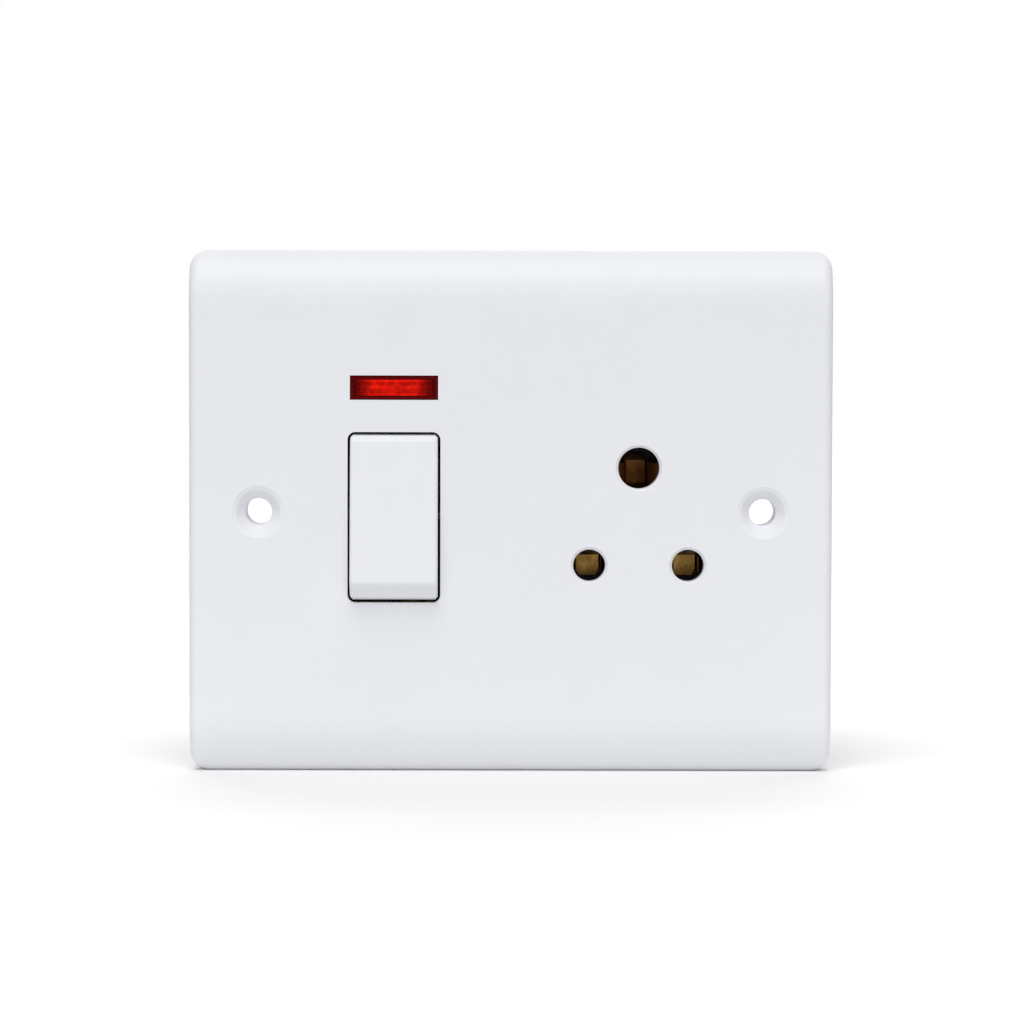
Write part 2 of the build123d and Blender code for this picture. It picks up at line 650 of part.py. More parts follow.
lead_radius = LEAD_DIAMETER / 2
solder_y = bus_y - lead_radius - LEAD_SEAT
live_lead_z = NEON_Z + LEAD_SPREAD / 2
neutral_lead_z = NEON_Z - LEAD_SPREAD / 2
live_lead_x = lamp_end_x + LIVE_LEAD_RUN
neutral_lead_x = lamp_end_x + NEUTRAL_LEAD_RUN
resistor_y = lamp_y + RESISTOR_SETBACK
resistor_back_y = resistor_y + RESISTOR_LENGTH
lead_routes = [
    [
        (lamp_end_x, lamp_y, live_lead_z),
        (live_lead_x, lamp_y, live_lead_z),
        (live_lead_x, resistor_y, live_lead_z),
    ],
    [
        (lamp_end_x, lamp_y, neutral_lead_z),
        (neutral_lead_x, lamp_y, neutral_lead_z),
        (neutral_lead_x, solder_y, contact_z + half_strip),
        (neutral_lead_x, solder_y, contact_z - half_strip / 2),
    ],
]
with BuildPart() as neon_leads:
    for route in lead_routes:
        with BuildLine() as lead_path:
            Polyline(*route)
        with BuildSketch(Plane(origin=lead_path.line @ 0, z_dir=lead_path.line % 0)):
            RegularPolygon(lead_radius, WIRE_SIDES)
        sweep(path=lead_path.line, transition=Transition.RIGHT)
finish(neon_leads, "neon_leads")

with BuildPart() as neon_resistor:
    with BuildSketch(Plane((live_lead_x, resistor_y, live_lead_z), (1, 0, 0), (0, 1, 0))):
        Circle(RESISTOR_DIAMETER / 2)
    extrude(amount=RESISTOR_LENGTH)
    with BuildLine() as tail_path:
        Polyline(
            (live_lead_x, resistor_back_y, live_lead_z),
            (live_lead_x, solder_y, live_lead_z),
            (live_lead_x, solder_y, live_run_z),
        )
    with BuildSketch(Plane(origin=tail_path.line @ 0, z_dir=tail_path.line % 0)):
        RegularPolygon(lead_radius, WIRE_SIDES)
    sweep(path=tail_path.line, transition=Transition.RIGHT)
finish(neon_resistor, "neon_resistor")

# Rear housing: a tray behind the plate with strip supports, bearing posts, lamp cradles and screw ears
all_runs = bus_runs["neutral"] + bus_runs["live"]
support_size = STRIP_WIDTH + 2 * SUPPORT_LIP
channel_width = STRIP_WIDTH + 2 * RUN_CLEARANCE
with BuildPart() as rear_housing:
    with BuildSketch(facing(HOUSING_DEPTH)):
        with Locations(housing_middle):
            outer_size = (housing_width + 2 * HOUSING_WALL, housing_height + 2 * HOUSING_WALL)
            RectangleRounded(*outer_size, HOUSING_CORNER)
    extrude(amount=HOUSING_DEPTH - inner_y)
    with BuildSketch(facing(ear_back_y)):
        with Locations(*ear_points):
            Rectangle(EAR_SIZE, EAR_SIZE)
    extrude(amount=EAR_THICKNESS)
    with BuildSketch(facing(floor_y)):
        with Locations(housing_middle):
            Rectangle(housing_width, housing_height)
    extrude(amount=floor_y - inner_y, mode=Mode.SUBTRACT)
    with BuildSketch(facing(floor_y)):
        for route in bus_routes.values():
            with Locations(route[0], route[-1]):
                Rectangle(support_size, support_size)
        for (x0, z0), (x1, z1) in all_runs:
            with Locations(((x0 + x1) / 2, (z0 + z1) / 2)):
                Rectangle(support_size, support_size)
    extrude(amount=floor_y - bus_y)
    with BuildSketch(facing(bus_y)):
        for (x0, z0), (x1, z1) in all_runs:
            with Locations(((x0 + x1) / 2, (z0 + z1) / 2)):
                Rectangle(abs(x1 - x0) + channel_width, abs(z1 - z0) + channel_width)
    extrude(amount=-BUS_THICKNESS, mode=Mode.SUBTRACT)
    with BuildSketch(facing(floor_y)):
        bearing_middle = (bearing_inside + bearing_outside) / 2
        with Locations((ROCKER_X - bearing_middle, ROCKER_Z), (ROCKER_X + bearing_middle, ROCKER_Z)):
            Rectangle(BEARING_WIDTH, BEARING_HEIGHT)
    extrude(amount=floor_y - inner_y)
    with BuildSketch(side_plane(ROCKER_X, pivot_y, ROCKER_Z)):
        Circle(notch_radius)
        notch_depth = pivot_y - inner_y
        with Locations((-notch_depth / 2, 0)):
            Rectangle(notch_depth, 2 * notch_radius)
    extrude(amount=bearing_outside, both=True, mode=Mode.SUBTRACT)
    with BuildSketch(facing(floor_y)):
        with Locations((ROCKER_X, NEON_Z)):
            with GridLocations(CRADLE_SPACING, 0, 2, 1):
                Rectangle(CRADLE_WIDTH, CRADLE_HEIGHT)
    extrude(amount=floor_y - lamp_y)
    with BuildSketch(facing(lamp_y)):
        with Locations((ROCKER_X, NEON_Z)):
            Rectangle(LAMP_LENGTH, LAMP_DIAMETER + 2 * RUN_CLEARANCE)
    extrude(amount=-lamp_radius - RUN_CLEARANCE, mode=Mode.SUBTRACT)
    with BuildSketch(facing(floor_y)):
        barrier_height = TERMINAL_HEIGHT + TERMINAL_ROOM
        with Locations((ROCKER_X, housing_bottom + barrier_height / 2)):
            Rectangle(BARRIER_WIDTH, barrier_height)
    extrude(amount=BARRIER_DEPTH)
    with BuildSketch(facing(floor_y)):
        with Locations(*clamp_points):
            Circle(ACCESS_HOLE / 2)
    extrude(amount=-HOUSING_FLOOR, mode=Mode.SUBTRACT)
    with BuildSketch(facing(strap_y)):
        window_top = housing_bottom
        window_z = window_top - HOUSING_WALL / 2
        pole_window = POLE_PITCH + TERMINAL_WIDTH + 2 * WIRE_WINDOW_SIDE
        with Locations((ROCKER_X, window_z)):
            Rectangle(pole_window, HOUSING_WALL)
        with Locations((SOCKET_X, window_z)):
            Rectangle(TERMINAL_WIDTH + 2 * WIRE_WINDOW_SIDE, HOUSING_WALL)
    extrude(amount=TERMINAL_DEPTH, mode=Mode.SUBTRACT)
    with BuildSketch(facing(ear_back_y)):
        with Locations(*ear_points):
            Circle(SCREW_DIAMETER / 2 + SCREW_CLEARANCE)
    extrude(amount=EAR_THICKNESS, mode=Mode.SUBTRACT)
finish(rear_housing, "rear_housing")

# Housing screws, driven from behind through the ears
with BuildPart() as housing_screws:
    with BuildSketch(facing(ear_back_y)):
        with Locations(*ear_points):
            Circle(SCREW_HEAD / 2)
    extrude(amount=-SCREW_HEAD_HEIGHT)
    with BuildSketch(facing(ear_back_y)):
        with Locations(*ear_points):
            Circle(SCREW_DIAMETER / 2)
    extrude(amount=EAR_THICKNESS + SCREW_BITE)
    with BuildSketch(facing(ear_back_y + SCREW_HEAD_HEIGHT)):
        with Locations(*ear_points):
            Rectangle(RECESS_SPAN, RECESS_WIDTH)
            Rectangle(RECESS_WIDTH, RECESS_SPAN)
    extrude(amount=RECESS_DEPTH, mode=Mode.SUBTRACT)
finish(housing_screws, "housing_screws")
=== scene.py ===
# %% [markdown]
# # A switched socket, dressed for its picture
#
# The object is a white moulded wall plate with a rocker switch, a red neon window and a socket for three
# round pins. The solids come from the CAD model and are already the right shape and size. This lesson gives
# each of them a finish that is worked out in nodes, adds the small forms that are finer than the solids, and
# sets up the floor, the light and the camera. All places are read from the loaded solids, in metres.

# %% Load the CAD model
import json
from math import pi, radians

import bmesh
import bpy
from mathutils import Matrix, Vector


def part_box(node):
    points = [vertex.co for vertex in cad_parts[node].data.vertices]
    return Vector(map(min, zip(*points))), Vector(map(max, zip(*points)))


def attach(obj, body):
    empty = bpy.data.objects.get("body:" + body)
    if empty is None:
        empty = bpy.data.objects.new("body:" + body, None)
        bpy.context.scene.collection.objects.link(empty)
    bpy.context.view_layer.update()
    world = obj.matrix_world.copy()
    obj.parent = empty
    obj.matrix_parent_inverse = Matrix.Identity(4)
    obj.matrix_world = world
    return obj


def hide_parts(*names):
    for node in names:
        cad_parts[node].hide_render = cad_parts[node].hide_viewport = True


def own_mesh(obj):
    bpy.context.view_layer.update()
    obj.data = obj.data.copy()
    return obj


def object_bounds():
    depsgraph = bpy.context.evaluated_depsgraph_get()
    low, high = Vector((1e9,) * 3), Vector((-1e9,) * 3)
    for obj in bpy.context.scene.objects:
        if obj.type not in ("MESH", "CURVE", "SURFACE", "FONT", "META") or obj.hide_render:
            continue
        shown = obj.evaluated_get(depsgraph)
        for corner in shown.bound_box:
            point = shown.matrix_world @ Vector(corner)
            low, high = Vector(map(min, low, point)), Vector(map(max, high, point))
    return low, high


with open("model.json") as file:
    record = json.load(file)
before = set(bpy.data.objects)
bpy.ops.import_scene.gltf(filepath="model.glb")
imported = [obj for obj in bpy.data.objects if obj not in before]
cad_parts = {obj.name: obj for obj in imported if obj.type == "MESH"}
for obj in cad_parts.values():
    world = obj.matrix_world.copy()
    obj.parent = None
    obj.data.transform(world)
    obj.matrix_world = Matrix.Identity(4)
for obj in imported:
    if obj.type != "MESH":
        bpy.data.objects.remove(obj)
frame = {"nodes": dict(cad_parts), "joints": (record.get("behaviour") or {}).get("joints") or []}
nodes = frame["nodes"]
cad_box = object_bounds()
MM = 0.001
print("CAD box, mm:", [[round(c / MM, 2) for c in corner] for corner in cad_box])

# %% [markdown]
# ## Shader sums written as Python
#
# A finish is a small calculation: a speck of noise here, a little less gloss there. Blender draws that
# calculation as nodes. Adding every node by hand takes many lines, so one small class stands for a socket.
# Plus, minus, times and divide on it add Math nodes, and one method adds any other kind of node.

# %% One class for sockets


class Field:
    """A value that changes over a surface: an output socket in a node tree."""

    def __init__(self, socket):
        self.socket = socket

    def node(self, kind, settings=None, inputs=None, output=0):
        """Add a node of any kind beside this socket, set it up, and return one of its outputs."""
        tree = self.socket.id_data
        made = tree.nodes.new("ShaderNode" + kind)
        for name, value in (settings or {}).items():
            if name == "stops":
                set_stops(made.color_ramp, value)
            else:
                setattr(made, name, value)
        for name, value in (inputs or {}).items():
            plug(tree, made.inputs[name], value)
        return Field(made.outputs[output])

    def maths(self, operation, first, second=0.0):
        return self.node("Math", {"operation": operation}, {0: first, 1: second})

    def __add__(self, other):
        return self.maths("ADD", self, other)

    def __sub__(self, other):
        return self.maths("SUBTRACT", self, other)

    def __rsub__(self, other):
        return self.maths("SUBTRACT", other, self)

    def __mul__(self, other):
        return self.maths("MULTIPLY", self, other)

    def __truediv__(self, other):
        return self.maths("DIVIDE", self, other)

    __radd__ = __add__
    __rmul__ = __mul__


def plug(tree, socket, value):
    """Link a field to an input socket, or write a plain number or colour on it."""
    if isinstance(value, Field):
        tree.links.new(value.socket, socket)
    else:
        socket.default_value = value


def set_stops(ramp, stops):
    """Give a colour ramp these (position, grey) stops."""
    while len(ramp.elements) < len(stops):
        ramp.elements.new(0.5)
    for element, (position, grey) in zip(ramp.elements, stops):
        element.position = position
        element.color = (grey, grey, grey, 1)


print("Field ready")

# %% [markdown]
# ## Patterns that every finish uses
#
# Real surfaces are never quite even. A broad, faint noise stands for the flow of the plastic or the tarnish
# of a metal, and a fine one for the grain that the mould or the rolling mill leaves. Both read the place on
# the piece itself, so a pattern stays where it is when the camera or the part moves. Two more helpers
# measure how far a place lies from a plane, for colours that change towards an edge or at a step.

# %% Start a finish, add noise, blend colours, roughen, measure


def new_finish(name, **constants):
    """A material, its shader and the place on the piece as a field. Constants go on the shader's sockets."""
    material = bpy.data.materials.new(name)
    material.use_nodes = True
    tree = material.node_tree
    shader = tree.nodes["Principled BSDF"]
    for socket, value in constants.items():
        shader.inputs[socket.replace("_", " ")].default_value = value
    place = Field(tree.nodes.new("ShaderNodeTexCoord").outputs["Object"])
    return material, shader, place


def noise(place, size, detail=2.0):
    """Noise between 0 and 1 whose blotches are about this many metres across."""
    return place.node("TexNoise", inputs={"Vector": place, "Scale": 1 / size, "Detail": detail})


def blend(amount, low, high):
    """Colour that goes from low to high as amount goes from 0 to 1."""
    colours = {"Factor": amount, 6: low, 7: high}
    return amount.node("Mix", {"data_type": "RGBA"}, colours, output=2)


def grain(height, depth):
    """Normal of a surface roughened by a height field that is this many metres deep."""
    return height.node("Bump", inputs={"Height": height, "Distance": depth, "Strength": 1.0})


def from_middle(place, axis, middle):
    """Distance from a plane across the piece, along one axis."""
    along = place.node("SeparateXYZ", inputs={"Vector": place}, output=axis)
    return along.maths("ABSOLUTE", along - middle)


def off_centre(place, node, half_width):
    """1 where a node reaches further than a half width from its middle along X, and 0 within it."""
    apart = from_middle(place, "X", sum(corner[0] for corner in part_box(node)) / 2)
    return apart.maths("GREATER_THAN", apart, half_width)


def dress(shader, **fields):
    """Feed the shader's sockets that change over the surface."""
    for socket, value in fields.items():
        plug(shader.id_data, shader.inputs[socket.replace("_", " ")], value)


def wear(material, *names):
    """Put a finish on CAD nodes by writing it on their material slots."""
    for name in names:
        for material_slot in nodes[name].material_slots:
            material_slot.material = material
    print(material.name, "on", ", ".join(names))


print("finish helpers ready")

# %% [markdown]
# ## White moulding
#
# The plate and the rocker are moulded in white thermoset with a soft sheen. A plain white would look like
# paper, so the colour drifts by about one part in a hundred, the gloss is a little uneven, and a very
# shallow orange-peel grain breaks up the reflections. The rocker is a separate moulding and a shade lighter.
# Its trunnions stand out past its flanks. They are painted near black, a painted shade, so the gap round the
# rocker stays dark.

# %% White moulding for the plate and the rocker
# Painted shade: near black for the rocker's trunnions, so the gap round the rocker stays dark.
TRUNNION_SHADE = (0.02, 0.02, 0.02, 1)
ROCKER_FLANK = 8.48 * MM
FLOW_SIZE = 18 * MM
SHEEN_SIZE = 4 * MM
PEEL_SIZE = 0.9 * MM
PEEL_DEPTH = 0.004 * MM


def white_moulding(name, low, high, flank=None):
    """Soft white that drifts from low to high. Beyond the flank, the rocker's trunnions get a painted shade
    of near black.
    """
    material, shader, place = new_finish(name, Specular_IOR_Level=0.3)
    flow = noise(place, FLOW_SIZE, detail=3.0)
    peel = noise(place, PEEL_SIZE)
    colour = blend(flow, low, high)
    if flank:
        # Painted shade: beyond the flank the colour turns near black.
        colour = blend(off_centre(place, "rocker", flank), colour, TRUNNION_SHADE)
    dress(
        shader,
        Base_Color=colour,
        Roughness=0.34 + 0.08 * noise(place, SHEEN_SIZE),
        Normal=grain(peel, PEEL_DEPTH),
    )
    return material


plate_white = white_moulding("plate_white", (0.765, 0.775, 0.805, 1), (0.785, 0.795, 0.825, 1))
rocker_white = white_moulding("rocker_white", (0.77, 0.78, 0.81, 1), (0.79, 0.8, 0.83, 1), ROCKER_FLANK)
wear(plate_white, "front_plate")
wear(rocker_white, "rocker")

# %% [markdown]
# ## Dark base and inner plastics
#
# Everything behind the plate hangs in a dark phenolic base. Phenolic shows a faint mottle from its filler
# and is dull in patches. The plungers are natural nylon, slightly waxy and warm, and the resistor has a brown
# coating. All three are made by one function.

# %% Phenolic base, nylon plungers, resistor coating
DULL_SIZE = 2 * MM
GRAIN_SIZE = 0.4 * MM


def inner_plastic(name, low, high, mottle, roughness, depth):
    """Plastic that mottles from low to high, with a grain of this depth."""
    material, shader, place = new_finish(name)
    dress(
        shader,
        Base_Color=blend(noise(place, mottle, detail=5.0), low, high),
        Roughness=roughness + 0.15 * noise(place, DULL_SIZE),
        Normal=grain(noise(place, GRAIN_SIZE), depth),
    )
    return material


wear(
    inner_plastic(
        "phenolic",
        low=(0.016, 0.015, 0.014, 1),
        high=(0.03, 0.028, 0.026, 1),
        mottle=1.5 * MM,
        roughness=0.42,
        depth=0.01 * MM,
    ),
    "rear_housing",
)
wear(
    inner_plastic(
        "nylon",
        low=(0.62, 0.58, 0.48, 1),
        high=(0.72, 0.68, 0.58, 1),
        mottle=3 * MM,
        roughness=0.35,
        depth=0.004 * MM,
    ),
    "live_plunger",
    "neutral_plunger",
)
wear(
    inner_plastic(
        "resistor_coat",
        low=(0.36, 0.22, 0.11, 1),
        high=(0.5, 0.33, 0.18, 1),
        mottle=1 * MM,
        roughness=0.5,
        depth=0.02 * MM,
    ),
    "neon_resistor",
)

# %% [markdown]
# ## Brass and bronze strip
#
# The clips, strips and terminals are stamped from rolled brass and bronze. Rolling leaves fine lines along
# the strip, and handling leaves an olive tarnish in patches, which is what one sees through the pin holes.
# The lines are noise that is stretched along one axis, and the tarnish is a broad noise put through a ramp.
# The leaves of the earth clip, on both sides of its web, are painted brighter: a painted highlight for the
# light their flared lips catch.

# %% Metals
TARNISH_SIZE = 2.5 * MM
TARNISH_EDGE = 0.15
LINE_STRETCH = (0.08, 1, 1)
LINE_DEPTH = 0.003 * MM
EARTH_WEB_HALF = 2.2 * MM
# Painted highlight: a brighter bronze for the earth clip's leaves, for the light their flared lips catch.
LEAF_HIGHLIGHT_BRONZE = (0.58, 0.27, 0.1, 1)


def metal(name, clean, dull, dull_share, line_size, roughness, tarnish_roughness=0.2, leaf_highlight=None):
    """Dull and clean metal in patches, with fine lines. Leaf highlight is a node, a half width and a colour:
    a painted highlight beyond that half width.
    """
    material, shader, place = new_finish(name, Metallic=1.0)
    ramp = {"stops": [(dull_share - TARNISH_EDGE, 1.0), (dull_share + TARNISH_EDGE, 0.0)]}
    tarnish = place.node("ValToRGB", ramp, {"Fac": noise(place, TARNISH_SIZE, detail=4.0)})
    stretched = place.node("Mapping", inputs={"Vector": place, "Scale": LINE_STRETCH})
    lines = noise(stretched, line_size)
    colour = blend(tarnish, clean, dull)
    if leaf_highlight:
        node, half_width, bright = leaf_highlight
        # Painted highlight: beyond the half width the colour turns brighter.
        colour = blend(off_centre(place, node, half_width), colour, bright)
    dress(
        shader,
        Base_Color=colour,
        Roughness=roughness + tarnish_roughness * tarnish + 0.08 * lines,
        Normal=grain(lines, LINE_DEPTH),
    )
    return material


wear(
    metal(
        "brass_strip",
        clean=(0.42, 0.29, 0.11, 1),
        dull=(0.2, 0.13, 0.05, 1),
        dull_share=0.5,
        line_size=0.25 * MM,
        roughness=0.34,
    ),
    *(name for name in nodes if name.endswith(("_bracket", "_seesaw", "_terminal"))),
)
wear(
    metal(
        "clip_brass",
        clean=(0.31, 0.18, 0.052, 1),
        dull=(0.22, 0.12, 0.032, 1),
        dull_share=0.45,
        line_size=0.2 * MM,
        roughness=0.2,
        tarnish_roughness=0.06,
    ),
    "live_clip",
    "neutral_clip",
)
wear(
    metal(
        "clip_bronze",
        clean=(0.15, 0.068, 0.019, 1),
        dull=(0.1, 0.042, 0.011, 1),
        dull_share=0.5,
        line_size=0.2 * MM,
        roughness=0.3,
        tarnish_roughness=0.1,
        leaf_highlight=("earth_clip", EARTH_WEB_HALF, LEAF_HIGHLIGHT_BRONZE),
    ),
    "earth_clip",
)
wear(
    metal(
        "strip_bronze",
        clean=(0.2, 0.105, 0.05, 1),
        dull=(0.1, 0.05, 0.022, 1),
        dull_share=0.5,
        line_size=0.25 * MM,
        roughness=0.36,
    ),
    "live_bus",
    "neutral_bus",
)
wear(
    metal(
        "strap_bronze",
        clean=(0.07, 0.04, 0.02, 1),
        dull=(0.04, 0.02, 0.01, 1),
        dull_share=0.5,
        line_size=0.25 * MM,
        roughness=0.4,
    ),
    "earth_strap",
)
wear(
    metal(
        "silver_tip",
        clean=(0.83, 0.82, 0.8, 1),
        dull=(0.5, 0.48, 0.44, 1),
        dull_share=0.4,
        line_size=0.2 * MM,
        roughness=0.22,
    ),
    *(name for name in nodes if name.endswith("_tip")),
)
wear(
    metal(
        "zinc_plate",
        clean=(0.66, 0.66, 0.64, 1),
        dull=(0.44, 0.44, 0.42, 1),
        dull_share=0.45,
        line_size=0.15 * MM,
        roughness=0.28,
    ),
    "housing_screws",
    "terminal_screws",
)
wear(
    metal(
        "tinned_wire",
        clean=(0.62, 0.62, 0.6, 1),
        dull=(0.4, 0.4, 0.38, 1),
        dull_share=0.45,
        line_size=0.1 * MM,
        roughness=0.3,
    ),
    "neon_leads",
)

# %% [markdown]
# ## Red neon window
#
# The window is a clear red moulding. Its middle carries small prisms whose bright red is painted light, while
# the plain strip round them looks into the dark base. The solid gets a dark red with a lighter border, a
# painted highlight for the light its edge would catch, worked out from the distance to the nearest visible
# side. The flange of the lens lies hidden behind the plate and is left out of that sum. The prisms come next
# as a form of their own.

# %% Red lens
lens_low, lens_high = (Vector(corner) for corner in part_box("neon_lens"))
lens_middle = (lens_low + lens_high) / 2
LENS_FLANGE = 1.1 * MM
HIGHLIGHT_BAND_WIDTH = 0.5 * MM
RED_DARK = (0.068, 0.0003, 0.0004, 1)
RED_BORDER_HIGHLIGHT = (0.12, 0.0012, 0.0018, 1)
RIPPLE_SIZE = 1.2 * MM
RIPPLE_DEPTH = 0.003 * MM
border_highlight_stops = [(0.75, 1.0), (1.0, 0.0)]
red_lens, red_shader, red_place = new_finish("red_lens", Roughness=0.12, Specular_IOR_Level=0.03)
lens_half = (lens_high - lens_low) / 2
side_strip = (lens_half.x - LENS_FLANGE) - from_middle(red_place, "X", lens_middle.x)
long_strip = (lens_half.z - LENS_FLANGE) - from_middle(red_place, "Z", lens_middle.z)
from_side = side_strip.maths("MINIMUM", side_strip, long_strip) / HIGHLIGHT_BAND_WIDTH
# Painted highlight: a lighter red band along the lens's visible sides stands in for light caught on its edge.
border_highlight = red_place.node("ValToRGB", {"stops": border_highlight_stops}, {"Fac": from_side})
dress(
    red_shader,
    Base_Color=blend(border_highlight, RED_DARK, RED_BORDER_HIGHLIGHT),
    Normal=grain(noise(red_place, RIPPLE_SIZE), RIPPLE_DEPTH),
)
wear(red_lens, "neon_lens")

# %% [markdown]
# The prisms are a sheet of low pyramids. A grid with one square for each prism is given a thickness by an
# extrusion, and each square of its front is poked, which raises a point in the middle of it. Their red is
# painted light: painted highlights along the rows' ridges, painted glints in flecks, and a painted glow that
# dies away towards both ends, where the lamp no longer stands behind.

# %% Prisms of the lens
PRISM_COLUMNS = 28
PRISM_ROWS = 3
PRISM_RISE = 0.18 * MM
PRISM_SINK = 0.05 * MM
PRISM_FIELD = Vector((14.6 * MM, 0, 3.1 * MM))
RED_VALLEY = (0.07, 0.0003, 0.0004, 1)
RED_RIDGE_HIGHLIGHT = (0.92, 0.012, 0.004, 1)
RIDGE_HIGHLIGHT_SHARE = 0.5
GLINT_SHARE = 0.9
GLINT_SIZE = 0.8 * MM
GLOW_LOSS = 0.05


def new_piece(name, mesh_maker, body, material):
    """Make an object from a filled bmesh, dress it and let it ride on a body."""
    mesh = bpy.data.meshes.new(name)
    mesh_maker.to_mesh(mesh)
    mesh_maker.free()
    mesh.materials.append(material)
    piece = bpy.data.objects.new(name, mesh)
    bpy.context.collection.objects.link(piece)
    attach(piece, body)
    print(name, len(mesh.polygons), "faces")
    return piece


prism_red, prism_shader, prism_place = new_finish("prism_red", Roughness=0.2, Specular_IOR_Level=0.02)
along_lens = from_middle(prism_place, "X", lens_middle.x) / (PRISM_FIELD.x / 2)
up_lens = from_middle(prism_place, "Z", lens_middle.z) / (PRISM_FIELD.z / 2)
painted_glow_stops = [(0.0, 1.0), (0.6, 1.0), (0.76, 0.42), (0.9, 0.18), (1.0, 0.09)]
ridge_highlight_stops = [(0.0, 1.0), (0.2, 0.4), (0.6, 0.25), (0.82, 0.9), (1.0, 0.5)]
# Painted light: the glow that fades towards both ends, the highlights along the ridges and the glints in
# flecks are painted into the prisms' colour.
painted_lamp_glow = prism_place.node("ValToRGB", {"stops": painted_glow_stops}, {"Fac": along_lens})
ridge_highlight = prism_place.node("ValToRGB", {"stops": ridge_highlight_stops}, {"Fac": up_lens})
glint = noise(prism_place, GLINT_SIZE, detail=1.0)
painted_glow = painted_lamp_glow * (RIDGE_HIGHLIGHT_SHARE * ridge_highlight + GLINT_SHARE * glint - GLOW_LOSS)
dress(prism_shader, Base_Color=blend(painted_glow, RED_VALLEY, RED_RIDGE_HIGHLIGHT))

prisms = bmesh.new()
bmesh.ops.create_grid(prisms, x_segments=PRISM_COLUMNS, y_segments=PRISM_ROWS, size=0.5)
bmesh.ops.scale(prisms, verts=prisms.verts, vec=(PRISM_FIELD.x, PRISM_FIELD.z, 1))
front = bmesh.ops.extrude_face_region(prisms, geom=prisms.faces[:])["geom"]
front_faces = [item for item in front if isinstance(item, bmesh.types.BMFace)]
front_corners = {corner for face in front_faces for corner in face.verts}
bmesh.ops.translate(prisms, verts=list(front_corners), vec=(0, 0, 2 * PRISM_SINK))
bmesh.ops.poke(prisms, faces=front_faces, offset=PRISM_RISE)
bmesh.ops.recalc_face_normals(prisms, faces=prisms.faces)
sheet_middle = (lens_middle.x, lens_low.y + PRISM_SINK, lens_middle.z)
stand = Matrix.Translation(sheet_middle) @ Matrix.Rotation(pi / 2, 4, "X")
bmesh.ops.transform(prisms, matrix=stand, verts=prisms.verts)
new_piece("lens_prisms", prisms, "plate_and_base", prism_red)

# %% [markdown]
# ## Plunger springs
#
# Each plunger is pushed by a coil of round wire. The solids show the coil with a few flat sides. Here a ring
# of points is carried round the axis and a step along it at the same time, which is what Blender's spin does
# when it is given a shift for each step. The coil leans with the rocker, so it is turned to the axis of the
# plunger's slide. The share of its length that it would keep with the plunger pushed in is worked out and
# printed, but the coil keeps its full length.

# %% Coil springs
WIRE = 0.5 * MM
WIRE_SIDES = 10
COIL_TURNS = 4
STEPS_A_TURN = 24
slides = {joint["name"]: joint for joint in frame["joints"]}
spring_steel = metal(
    "spring_steel",
    clean=(0.5, 0.5, 0.5, 1),
    dull=(0.3, 0.3, 0.3, 1),
    dull_share=0.4,
    line_size=0.1 * MM,
    roughness=0.3,
)
for pole in ("live", "neutral"):
    node_name = f"{pole}_plunger_spring"
    low, high = (Vector(corner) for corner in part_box(node_name))
    slide = slides[f"{pole}_plunger_slide"]
    slide_axis = Vector(slide["axis"]).normalized()
    coil_radius = (high.x - low.x - WIRE) / 2
    lean = abs(slide_axis.y)
    length = ((high.y - low.y) - 2 * coil_radius * abs(slide_axis.z)) / lean - WIRE
    coil = bmesh.new()
    ring = bmesh.ops.create_circle(coil, segments=WIRE_SIDES, radius=WIRE / 2)["verts"]
    bmesh.ops.rotate(coil, verts=ring, cent=(0, 0, 0), matrix=Matrix.Rotation(pi / 2, 3, "X"))
    bmesh.ops.translate(coil, verts=ring, vec=(coil_radius, 0, -length / 2))
    steps = COIL_TURNS * STEPS_A_TURN
    bmesh.ops.spin(
        coil,
        geom=coil.edges[:],
        cent=(0, 0, 0),
        axis=(0, 0, 1),
        dvec=(0, 0, length / steps),
        angle=COIL_TURNS * 2 * pi,
        steps=steps,
    )
    bmesh.ops.holes_fill(coil, edges=[edge for edge in coil.edges if edge.is_boundary])
    bmesh.ops.recalc_face_normals(coil, faces=coil.faces)
    for face in coil.faces:
        face.smooth = len(face.verts) == 4
    turn = Vector((0, 0, 1)).rotation_difference(slide_axis).to_matrix().to_4x4()
    bmesh.ops.transform(coil, matrix=Matrix.Translation((low + high) / 2) @ turn, verts=coil.verts)
    spring = new_piece(f"{pole}_coil_spring", coil, "rocker", spring_steel)
    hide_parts(node_name)
    rocker_end = (low + high) / 2 + slide_axis * (length + WIRE) / 2
    kept_length = 1 - slide["range_m"][1] / (length + WIRE)
    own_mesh(spring)
    print(pole, "spring keeps", round(kept_length, 3), "of its length")

# %% [markdown]
# ## Lamp glass
#
# The indicator is a small neon lamp in clear glass, hidden behind the lens. The glass is thin, so a smooth
# transmitting shader with a faint smoky patch near the electrodes is enough.

# %% Lamp glass
SMOKE_SIZE = 2 * MM
lamp_glass, lamp_shader, lamp_place = new_finish("lamp_glass", Transmission_Weight=1.0, IOR=1.47)
smoke = noise(lamp_place, SMOKE_SIZE)
dress(
    lamp_shader,
    Base_Color=blend(smoke, (0.75, 0.7, 0.66, 1), (0.95, 0.93, 0.9, 1)),
    Roughness=0.03 + 0.05 * smoke,
)
wear(lamp_glass, "neon_lamp")

# %% [markdown]
# ## Floor, light and background
#
# In the picture the plate stands on its lower edge on white paper, and the paper and the background are both
# pure white. The floor is a large sheet of plain white. It throws back most light close to the plate and
# less further out, which keeps the rolled lower edge bright and the plate's face even. As the camera sees it,
# the paper is painted a shade darker close to the plate, a painted shadow on top of the shadow that lies
# there.

# %% Floor
FLOOR_HALF = 6.0
PAPER_REACH = 300 * MM
bounce_stops = [(0.0, 0.97), (0.1, 0.93), (0.35, 0.82), (1.0, 0.64)]
painted_shadow_stops = [(0.02, 0.9), (0.25, 1.0)]


